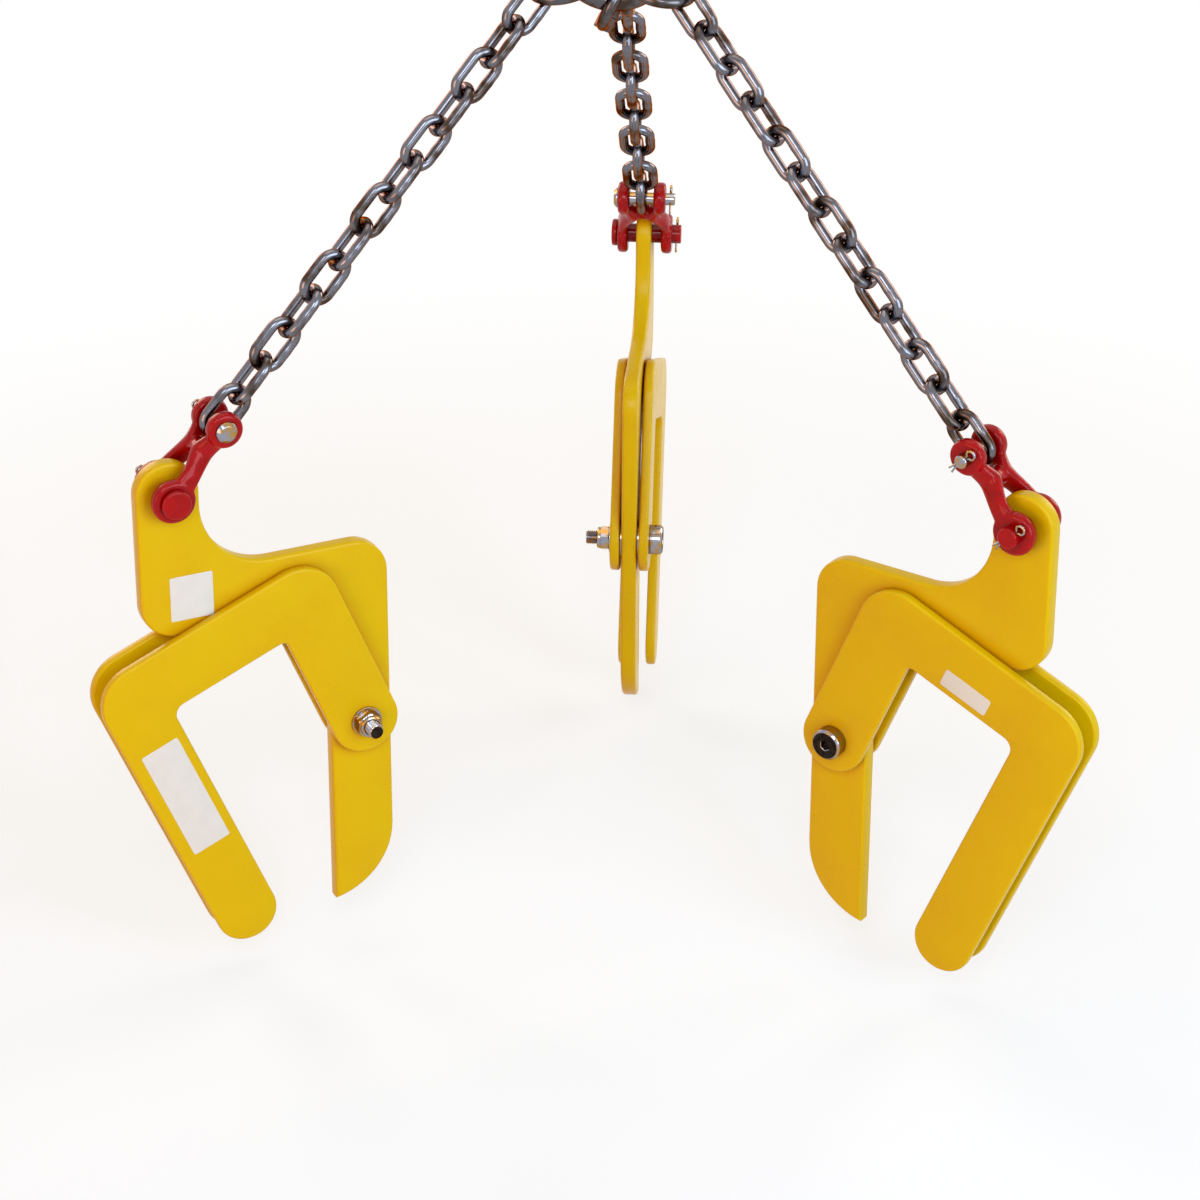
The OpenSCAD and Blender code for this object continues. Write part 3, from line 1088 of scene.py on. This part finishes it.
    def build(self, leg: Leg, body_mesh: Mesh) -> None:
        """Builds the clevis, pins and cotters of one leg.

        Args:
            leg: the leg.
            body_mesh: the forging, shared by the three legs.
        """
        lug, chain = joint_at(f"lug_pin_{leg.label}"), joint_at(f"chain_pin_{leg.label}")
        place = leg_matrix(lug, chain - lug, leg.across)
        to_chain = Matrix.Translation((self.length, 0, 0))
        lug_out, chain_out = self.lug_gap / 2 + self.lug_ear, self.chain_gap / 2 + self.chain_ear
        rim = self.lug_pin / 2 + 4 * MM
        lug_pin = self.pin_mesh(self.lug_pin, lug_out, ((rim, 0), (rim, 5.8 * MM)), 3.0 * MM)
        rim = self.chain_pin / 2 + 3.7 * MM
        cone = ((rim, 0), (rim, 1.5 * MM), (rim - 3.0 * MM, 4 * MM))
        chain_pin = self.pin_mesh(self.chain_pin, chain_out, cone, 0.5 * MM)
        cotters = list(self.cotter_rings(self.lug_pin, lug_out))
        for rings in self.cotter_rings(self.chain_pin, chain_out):
            cotters.append([[to_chain @ p for p in ring] for ring in rings])
        for node, word, mesh, finish, at in (
            ("clevis", "forging", body_mesh, RED_ENAMEL, place),
            ("lug_pin", "turned", lug_pin, RED_ENAMEL, place),
            ("chain_pin", "turned", chain_pin, ZINC_PLATE, place @ to_chain),
            ("cotters", "split", loft("cotters", cotters), ZINC_PLATE, place),
        ):
            self.shop.stand_in(f"{node}_{leg.label}", word, mesh, finish, f"clevis_{leg.label}", at)


def rounded_outline(corners: Sequence[tuple[float, float, float]], step: float = 3.0) -> list[Vector]:
    """The points of a closed outline whose corners are arcs.

    Args:
        corners: x, y and arc radius of each corner, in metres.
        step: degrees between points on an arc.

    Returns:
        The outline's points in order.
    """
    points: list[Vector] = []
    count = len(corners)
    for i, (x, y, radius) in enumerate(corners):
        here = Vector((x, y))
        if radius <= 0:
            points.append(here)
            continue
        a = (Vector(corners[i - 1][:2]) - here).normalized()
        b = (Vector(corners[(i + 1) % count][:2]) - here).normalized()
        half = a.angle(b) / 2
        centre = here + (a + b).normalized() * radius / math.sin(half)
        start, end = here + a * radius / math.tan(half), here + b * radius / math.tan(half)
        first = math.atan2(*(start - centre).yx)
        turn = math.remainder(math.atan2(*(end - centre).yx) - first, 2 * math.pi)
        steps = max(2, round(abs(math.degrees(turn)) / step))
        for k in range(steps + 1):
            angle = first + turn * k / steps
            points.append(centre + Vector((math.cos(angle), math.sin(angle))) * radius)
    # Arcs that meet leave doubled points
    clean = [points[0]]
    for p in points[1:]:
        if min((p - clean[-1]).length, (p - points[0]).length) > 0.01 * MM:
            clean.append(p)
    return clean


def plate_mesh(
    name: str, outline: Sequence[Vector], holes: Sequence[tuple[Vector, float]], thick: float, edge: float
) -> Mesh:
    """A flat-cut plate with rounded edges, in its own XY plane and centred on it.

    Args:
        name: the mesh's name.
        outline: the outside, as points.
        holes: centre and radius of each round hole.
        thick: the plate's thickness.
        edge: radius of its rounded edges.

    Returns:
        The mesh.
    """
    curve = bpy.data.curves.new(name, "CURVE")
    curve.dimensions = "2D"
    curve.fill_mode = "BOTH"
    rings = [list(outline)]
    for centre, radius in holes:
        rings.append([centre + Vector((math.cos(a), math.sin(a))) * radius for a in circle(48)])
    for ring in rings:
        spline = curve.splines.new("POLY")
        spline.points.add(len(ring) - 1)
        for point, p in zip(spline.points, ring):
            point.co = (p.x, p.y, 0, 1)
        spline.use_cyclic_u = True
    curve.extrude = thick / 2 - edge
    curve.bevel_depth = edge
    curve.bevel_resolution = 3
    curve.offset = -edge
    bm = bmesh.new()
    bm.from_mesh(taken_out(in_scene(name, curve)))
    bmesh.ops.remove_doubles(bm, verts=bm.verts, dist=0.01 * MM)
    return to_mesh(name, bm, PLATE_SHARP)


@dataclass
class Tong:
    """A lever plate between two jaw plates, on a pivot bolt with spacers, washer and lock nut."""

    shop: Workshop
    lever: float = 15.0 * MM
    jaw: float = 9.5 * MM
    gap: float = 2.0 * MM
    arm: float = 58.4 * MM
    bolt_in: float = 175.3 * MM
    bolt_down: float = 257.7 * MM
    bar_down: float = 81.0 * MM
    toe_down: float = 446.5 * MM
    throat: float = 64.0 * MM
    corner: float = 34.0 * MM
    foot: float = 70.0 * MM
    eye: float = 63.5 * MM
    window: float = 118.0 * MM
    grip: float = 58.0 * MM
    window_up: float = 118.4 * MM
    head: float = 60.5 * MM
    grip_down: float = 112.2 * MM
    jaw_corner: float = 38.0 * MM
    step_corner: float = 6.0 * MM
    window_corner: float = 11.0 * MM
    lean: float = 22.5
    lever_edge: float = 3.0 * MM
    jaw_edge: float = 2.4 * MM
    lug_hole: float = 9.6 * MM
    bolt: float = 14.0 * MM
    head_d: float = 29.5 * MM
    head_h: float = 13.0 * MM
    socket: float = 8.6 * MM
    socket_deep: float = 6.5 * MM
    nut: float = 22.0 * MM
    nut_h: float = 12.5 * MM
    thread_past: float = 10.8 * MM
    thread_pitch: float = 2.0 * MM
    washer_d: float = 29.0 * MM
    washer_t: float = 2.0 * MM
    play: float = 0.1 * MM

    @property
    def jaw_in(self) -> float:
        """Distance of a jaw plate's inner face from the tong's middle."""
        return self.lever / 2 + self.gap

    @property
    def jaw_out(self) -> float:
        """Distance of a jaw plate's outer face from the tong's middle."""
        return self.jaw_in + self.jaw

    @property
    def bolt_hole(self) -> float:
        """Radius of the plates' holes for the bolt."""
        return self.bolt / 2 + self.play

    def lever_outline(self) -> list[Vector]:
        """The lever plate's outline.

        Returns:
            Its points: x outwards and y up from the lug pin.
        """
        h = self.arm / 2
        inner, outer = -self.bolt_in - h, -self.bolt_in + h
        low = -self.bar_down - self.arm
        # The toe is an arc of the foot's radius, with its points closer together where it is steep
        toe = []
        for k in range(17):
            x = inner + self.arm * (k / 16) ** 1.6
            across = self.foot - (x - inner)
            toe.append((x, -self.toe_down + self.foot - math.sqrt(self.foot**2 - across**2), 0.0))
        return rounded_outline(
            [(-h, -self.bar_down, self.throat), (inner, -self.bar_down, self.corner), *toe,
             (outer, low, self.throat), (h, low, self.corner), (h, h, h), (-h, h, h)]
        )

    def jaw_outline(self) -> list[Vector]:
        """A jaw plate's outline, leaning as at rest.

        Returns:
            Its points: x outwards and y up from the pivot bolt.
        """
        h = self.eye / 2
        near, far = h + self.window, h + self.window + self.grip
        top, foot = self.window_up + self.head, -self.grip_down - self.grip / 2
        corners = [
            (-h, -h, h), (h, -h, h), (h, self.window_up, self.step_corner),
            (near, self.window_up, self.window_corner), (near, foot, self.grip / 2),
            (far, foot, self.grip / 2), (far, top, self.jaw_corner), (-h, top, self.jaw_corner),
        ]
        turn = Matrix.Rotation(-math.radians(self.lean), 2)
        return [turn @ p for p in rounded_outline(corners)]

    def lever_mesh(self) -> Mesh:
        """The lever plate about the lug pin, with the holes for that pin and for the bolt."""
        bolt_at = Vector((-self.bolt_in, -self.bolt_down))
        holes = [(Vector((0, 0)), self.lug_hole), (bolt_at, self.bolt_hole)]
        return plate_mesh("lever_plate", self.lever_outline(), holes, self.lever, self.lever_edge)

    def jaws_mesh(self) -> Mesh:
        """Both jaw plates about the bolt, one on each side of the lever plate.

        Returns:
            The mesh.
        """
        holes = [(Vector((0, 0)), self.bolt_hole)]
        jaw = plate_mesh("jaw_plate", self.jaw_outline(), holes, self.jaw, self.jaw_edge)
        bm = bmesh.new()
        for side in (1, -1):
            bm.from_mesh(jaw)
            aside = (0, 0, side * (self.jaw_in + self.jaw / 2))
            bmesh.ops.translate(bm, verts=bm.verts[-len(jaw.vertices) :], vec=aside)
        return to_mesh("jaw_plates", bm, PLATE_SHARP)

    def thread_rings(self, start: float, end: float, major: float) -> Rings:
        """Rings of a screw thread along Z, its crest climbing one pitch each turn.

        Args:
            start: where the thread begins.
            end: where it ends, fading out to a bevel.
            major: the radius of its crests.

        Returns:
            The rings' points.
        """
        pitch, bevel = self.thread_pitch, 0.9 * MM
        depth, flank, crest = 0.61 * pitch, 2.6, 0.15
        rows = max(2, round((end - start) / (pitch / 8)))
        rings = []
        for row in range(rows + 1):
            z = start + (end - start) * row / rows
            fade = min(1.0, (end - z) / (0.8 * pitch))
            ring = []
            for a in circle(48):
                # Share of the depth that is cut away here, with a flat at the crest and at the root
                phase = (z / pitch - a / (2 * math.pi)) % 1.0
                cut = min(1.0, max(0.0, flank * abs(phase - 0.5) - crest))
                r = major - depth * cut * (0.25 + 0.75 * fade) - bevel * (1 - fade)
                ring.append(Vector((r * math.cos(a), r * math.sin(a), z)))
            rings.append(ring)
        return rings

    def bolt_mesh(self) -> Mesh:
        """The pivot bolt along +Z: a socket head, a shank and a real thread past the nut.

        Returns:
            The mesh, with its flat end faces in the dark painted reflection.
        """
        head_out, seat = -self.jaw_out - self.head_h, -self.jaw_out - self.play
        end = self.jaw_out + self.washer_t + self.nut_h + self.thread_past
        start = self.jaw_out + self.washer_t + 1 * MM
        rim, shank, socket = self.head_d / 2, self.bolt / 2, hexagon(self.socket)
        bevel, lip, bottom = 1.9 * MM, 0.5 * MM, head_out + self.socket_deep
        inside: list[tuple[Radius, float]] = [
            (AXIS, bottom), (socket, bottom), (socket, head_out + lip), (lambda a: socket(a) + lip, head_out)
        ]
        face, edge = [(rim * 0.45, head_out), (rim - bevel, head_out)], [(rim, head_out + bevel), (rim, seat)]
        head = softened([*face, *edge, (shank, seat)], 0.35 * MM)
        profile = inside + head + [(shank, 0), (shank, start - 0.05 * MM)]
        rings = polar_rings(profile, 48) + self.thread_rings(start, end, shank)
        mesh = loft("pivot_bolt", [rings], sharp=TURNED_SHARP)
        mesh.materials.append(self.shop.material(ZINC_PLATE))
        mesh.materials.append(self.shop.material(PAINTED_DARK_REFLECTION))
        # Painted reflection: faces square to the bolt's axis get the dark material, the others bright zinc
        nearly_flat = 0.97
        for polygon in mesh.polygons:
            polygon.material_index = int(abs(polygon.normal.z) > nearly_flat)
        return mesh

    def nut_mesh(self) -> Mesh:
        """The lock nut along +Z: a chamfered hexagon and the round collar that grips the thread.

        Returns:
            The mesh.
        """
        low = self.jaw_out + self.washer_t + self.play
        high = low + self.nut_h - self.play
        collar = high - self.nut_h * 0.28
        flats = hexagon(self.nut)
        bore, ring = self.bolt / 2 + 0.06 * MM, self.nut / 2 - 0.5 * MM

        def chamfered(away: float) -> Callable[[float], float]:
            """The hexagon's radius at a distance from its end, cut by the chamfer's cone."""
            return lambda a: min(flats(a), self.nut / 2 + away * 1.7)

        cut, full, lip = 0.5 * MM, 1.1 * MM, 0.9 * MM
        profile: list[tuple[Radius, float]] = [
            (bore, low), (ring, low), (chamfered(0.0), low), (chamfered(cut), low + cut), (flats, low + full),
            (flats, collar - full), (chamfered(cut), collar - cut), (ring, collar), (ring, high - 1.4 * MM),
            (ring - 0.5 * MM, high - 0.6 * MM), (ring - 1.6 * MM, high), (bore + lip, high),
            (bore, high - lip),
        ]
        return loft("lock_nut", [polar_rings(profile, 72)], closed=True, sharp=TURNED_SHARP)

    def washer_mesh(self) -> Mesh:
        """The washer along +Z, between the jaw plate and the nut.

        Returns:
            The mesh.
        """
        bore, rim = self.bolt / 2 + 0.08 * MM, self.washer_d / 2
        low, high = self.jaw_out + self.play, self.jaw_out + self.washer_t
        profile = softened([(bore, low), (rim, low), (rim, high), (bore, high)], 0.4 * MM)
        return loft("washer", [polar_rings(profile, 64)], closed=True)

    def build(self, leg: Leg) -> tuple[Matrix, Matrix]:
        """Builds the tong of one leg.

        Args:
            leg: the leg.

        Returns:
            The lever plate's frame at the lug pin and the jaws' frame at the bolt: X out, Y up.
        """
        out, up = leg.outward, Vector((0, 0, 1))
        turn = Matrix((out, up, out.cross(up))).transposed().to_4x4()
        at_lug = Matrix.Translation(joint_at(f"lug_pin_{leg.label}")) @ turn
        at_bolt = Matrix.Translation(joint_at(f"jaw_bolt_{leg.label}")) @ turn
        spun = at_bolt @ Matrix.Rotation(math.pi, 4, "X")
        for node, word, mesh, finish, body, place in (
            ("lever", "plate", self.lever_mesh(), POWDER_COAT, "lever", at_lug),
            ("jaw_plates", "cut", self.jaws_mesh(), POWDER_COAT, "jaws", at_bolt),
            ("pivot_bolt", "turned", self.bolt_mesh(), ZINC_PLATE, "jaws", spun),
            ("nut", "lock", self.nut_mesh(), ZINC_PLATE, "jaws", spun),
            ("washer", "plain", self.washer_mesh(), ZINC_PLATE, "jaws", spun),
        ):
            self.shop.stand_in(f"{node}_{leg.label}", word, mesh, finish, f"{body}_{leg.label}", place)
        self.shop.dress_node(f"spacers_{leg.label}", ZINC_PLATE)
        return at_lug, at_bolt


@dataclass
class BlankLabel:
    """A blank label of vinyl film on a plate, with rounded corners."""

    shop: Workshop
    film: float = 0.25 * MM
    corner: float = 2.0 * MM

    def build(
        self, name: str, body: str, face: Matrix, low: Pair, high: Pair
    ) -> None:
        """Lays a label on a face.

        Args:
            name: the label's name.
            body: the body that carries the plate.
            face: the face's frame, its Z outwards.
            low: the label's lowest corner on the face, in metres.
            high: its highest corner.
        """
        r = self.corner
        corners = [(low[0], low[1], r), (high[0], low[1], r), (high[0], high[1], r), (low[0], high[1], r)]
        mesh = plate_mesh(name, rounded_outline(corners, 10), [], self.film, self.film * 0.3)
        self.shop.piece(name, mesh, LABEL_FILM, body, (), face @ Matrix.Translation((0, 0, self.film / 2)))


@dataclass
class Studio:
    """The plain white surroundings: floor, soft lamps, an even sky and the camera."""

    shop: Workshop
    floor: float = -1.031
    floor_side: float = 14.0
    floor_end: float = 8.0
    floor_rise: float = 3.0
    aim: tuple[float, float, float] = (0.0, 0.0, -0.55)
    lens: float = 119.283
    eye: tuple[float, float, float] = (0.2499, -3.3106, 0.9417)
    right: tuple[float, float, float] = (0.996772, 0.080209, 0.003481)
    up: tuple[float, float, float] = (-0.039217, 0.448612, 0.892866)

    def build_floor(self) -> None:
        """Lays the floor, a wide sheet that curves up far behind the lifter."""
        end, rise, side = self.floor_end, self.floor_rise, self.floor_side
        # Flat first, then a quarter circle up in steps of 6 degrees: distance back, and height
        line = [(end * k / 2, 0.0) for k in range(-2, 3)]
        for step in range(1, 16):
            turn = math.radians(6 * step)
            line.append((end + rise * math.sin(turn), rise * (1 - math.cos(turn))))
        bm = bmesh.new()
        rows = [[bm.verts.new((x, y, self.floor + z)) for x in (-side, 0, side)] for y, z in line]
        for a, b in zip(rows, rows[1:]):
            for i in range(2):
                bm.faces.new((a[i], a[i + 1], b[i + 1], b[i]))
        mesh = to_mesh("studio_floor", bm)
        mesh.materials.append(self.shop.material(STUDIO_PAPER))
        floor = in_scene("studio_floor", mesh)

    def build_lamps(self) -> None:
        """Hangs the soft boxes: a cool key, a small front one, one above, a warm fill, two behind."""
        for name, at, size, power, colour in (
            ("key", (2.5, -2.6, 0.5), 2.4, 90.0, "#DAEFFF"),
            ("front", (0.1, -3.3, 1.5), 1.3, 36.0, "#EEF4FF"),
            ("top", (-0.4, 0.3, 3.2), 2.6, 32.0, "#FFE2BE"),
            ("fill", (-2.2, -2.9, -0.1), 1.8, 40.0, "#FFBC80"),
            ("back left", (-2.5, 2.6, 0.7), 1.8, 52.0, "#FFE8D0"),
            ("back right", (2.7, 2.4, 0.7), 1.8, 52.0, "#FFE8D0"),
        ):
            lamp = bpy.data.lights.new(name, "AREA")
            lamp.shape = "SQUARE"
            lamp.size = size
            lamp.energy = power
            lamp.color = linear(colour)[:3]
            obj = in_scene(name, lamp)
            obj.location = at
            aim = Vector(self.aim) - Vector(at)
            obj.rotation_euler = aim.to_track_quat("-Z", "Y").to_euler()

    def build_sky(self) -> None:
        """Sets the even light from all round, and the white that camera and gloss see."""
        world = bpy.data.worlds.new("studio")
        bpy.context.scene.world = world
        world.use_nodes = True
        tree = world.node_tree
        tree.nodes.clear()
        light = add_node(tree, "Background", {"Color": linear("#FFC890"), "Strength": 0.29})
        white = add_node(tree, "Background", {"Color": linear(WHITE), "Strength": 1.0})
        mix = add_node(tree, "MixShader", _0=seen_directly(tree), _1=light, _2=white)
        add_node(tree, "OutputWorld", Surface=mix)

    def build_camera(self) -> None:
        """Stands the camera where the photograph was taken from."""
        camera = bpy.data.cameras.new("camera")
        camera.lens = self.lens
        camera.sensor_width = 36.0
        camera.sensor_fit = "HORIZONTAL"
        camera.clip_end = 100.0
        obj = in_scene("camera", camera)
        right, up = Vector(self.right).normalized(), Vector(self.up)
        back = right.cross(up).normalized()
        up = back.cross(right)
        obj.matrix_world = Matrix.Translation(self.eye) @ Matrix((right, up, back)).transposed().to_4x4()
        bpy.context.scene.camera = obj

    def build(self) -> None:
        """Builds the whole studio."""
        self.build_floor()
        self.build_lamps()
        self.build_sky()
        self.build_camera()
        bpy.context.scene.view_settings.view_transform = "Standard"
        LOG.info("studio: floor, six lamps, sky and camera")


@dataclass
class Lifter:
    """The whole lifter, dressed leg by leg."""

    shop: Workshop = field(default_factory=Workshop)

    def build_labels(self, leg: Leg, at_lug: Matrix, at_bolt: Matrix, tong: Tong) -> None:
        """Lays the blank labels where the real tongs have theirs.

        Args:
            leg: the leg.
            at_lug: the lever plate's frame.
            at_bolt: the jaws' frame.
            tong: the tong that they go on.
        """
        label = BlankLabel(self.shop)
        head_side = Matrix.Rotation(math.pi, 4, "Y")
        lean = Matrix.Rotation(-math.radians(tong.lean), 4, "Z")
        if leg is Leg.LEFT:
            face = at_lug @ Matrix.Translation((0, 0, -tong.lever / 2)) @ head_side
            label.build("label_left_lever", "lever_left", face, (-2.3 * MM, -124 * MM), (37.7 * MM, -81 * MM))
            face = at_bolt @ lean @ Matrix.Translation((0, 0, -tong.jaw_out)) @ head_side
            low, high = (-195.6 * MM, -26.6 * MM), (-158.3 * MM, 92.7 * MM)
            label.build("label_left_jaw", "jaws_left", face, low, high)
        elif leg is Leg.RIGHT:
            face = at_bolt @ lean @ Matrix.Translation((0, 0, tong.jaw_out))
            low, high = (64.6 * MM, 125.3 * MM), (114 * MM, 142.8 * MM)
            label.build("label_right_jaw", "jaws_right", face, low, high)

    def build(self) -> None:
        """Builds the master link, then each leg from the top down, then the studio."""
        MasterLink(self.shop).build()
        coupling, chain = CouplingLink(self.shop), Chain(self.shop)
        clevis, tong = TwinClevis(self.shop), Tong(self.shop)
        forging = clevis.body_mesh()
        for leg in Leg:
            coupling.build(leg)
            for stretch in ("top", "middle", "low"):
                chain.build(f"chain_{stretch}_{leg.label}")
            clevis.build(leg, forging)
            at_lug, at_bolt = tong.build(leg)
            self.build_labels(leg, at_lug, at_bolt, tong)
        Studio(self.shop).build()


def main() -> None:
    """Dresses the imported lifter."""
    logging.basicConfig(level=logging.INFO, format="%(name)s: %(message)s")
    Lifter().build()


if __name__ == "__main__":
    main()
